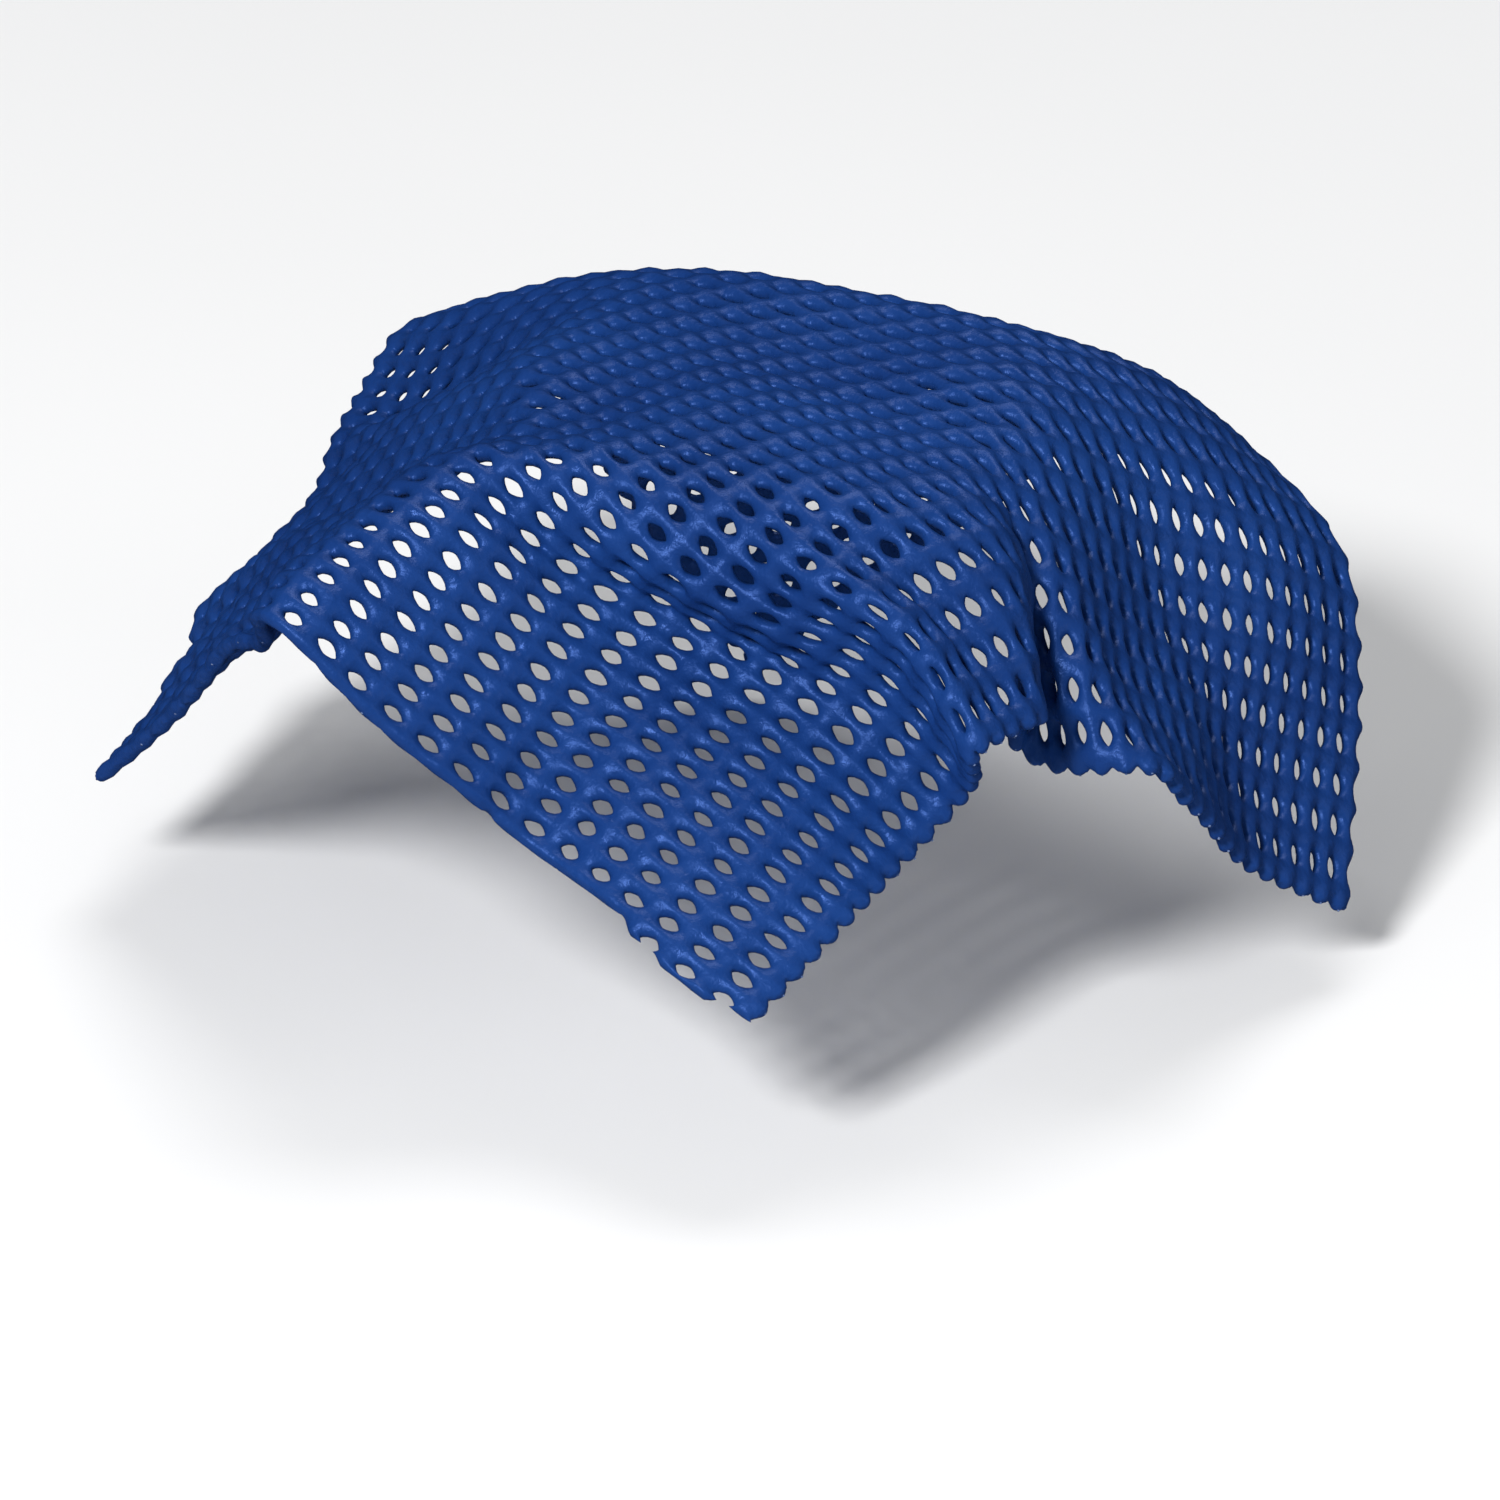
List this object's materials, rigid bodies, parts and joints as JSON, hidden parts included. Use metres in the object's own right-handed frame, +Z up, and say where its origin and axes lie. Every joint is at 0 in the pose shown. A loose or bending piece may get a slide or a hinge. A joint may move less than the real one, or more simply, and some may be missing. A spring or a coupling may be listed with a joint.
{
  "type": "rubber jar opener",
  "caption": "Square anti-slip net mat for gripping jar lids, draped over a lid with one corner to the front and its corner flaps hanging down.",
  "frame": {"origin": "middle of the lid seat: the flat underside of the mat's crown, where it rests on the lid", "axes": "+Z up, out of the lid; -Y towards the front corner of the mat; +X to the right of someone facing the front corner"},
  "size_m": [0.2034, 0.199, 0.0887],
  "materials": {
    "foam_rubber": "satin",
    "scrim_yarn": "matte"
  },
  "bodies": {
    "crown": {"crown_top_coat": "foam_rubber", "crown_scrim": "scrim_yarn", "crown_base_coat": "foam_rubber"},
    "front_flap": {"front_flap_top_coat": "foam_rubber", "front_flap_scrim": "scrim_yarn", "front_flap_base_coat": "foam_rubber"},
    "right_flap": {"right_flap_top_coat": "foam_rubber", "right_flap_scrim": "scrim_yarn", "right_flap_base_coat": "foam_rubber"},
    "back_flap": {"back_flap_top_coat": "foam_rubber", "back_flap_scrim": "scrim_yarn", "back_flap_base_coat": "foam_rubber"},
    "left_flap": {"left_flap_top_coat": "foam_rubber", "left_flap_scrim": "scrim_yarn", "left_flap_base_coat": "foam_rubber"}
  },
  "joints": [
    {"name": "front_flap_lift", "type": "hinge", "parent": "crown", "child": "front_flap", "pos_m": [-0.012, -0.062, -0.002], "axis": [-0.999, -0.02, 0.04], "range_deg": [0, 55]},
    {"name": "right_flap_lift", "type": "hinge", "parent": "crown", "child": "right_flap", "pos_m": [0.074, -0.014, -0.02], "axis": [-0.0993, -0.9933, 0.0596], "range_deg": [0, 60]},
    {"name": "back_flap_lift", "type": "hinge", "parent": "crown", "child": "back_flap", "pos_m": [0.007, 0.071, -0.02], "axis": [0.9368, -0.3499, 0], "range_deg": [0, 60]},
    {"name": "left_flap_lift", "type": "hinge", "parent": "crown", "child": "left_flap", "pos_m": [-0.076, 0.01, -0.02], "axis": [0.0692, 0.9893, -0.1286], "range_deg": [0, 45]}
  ]
}
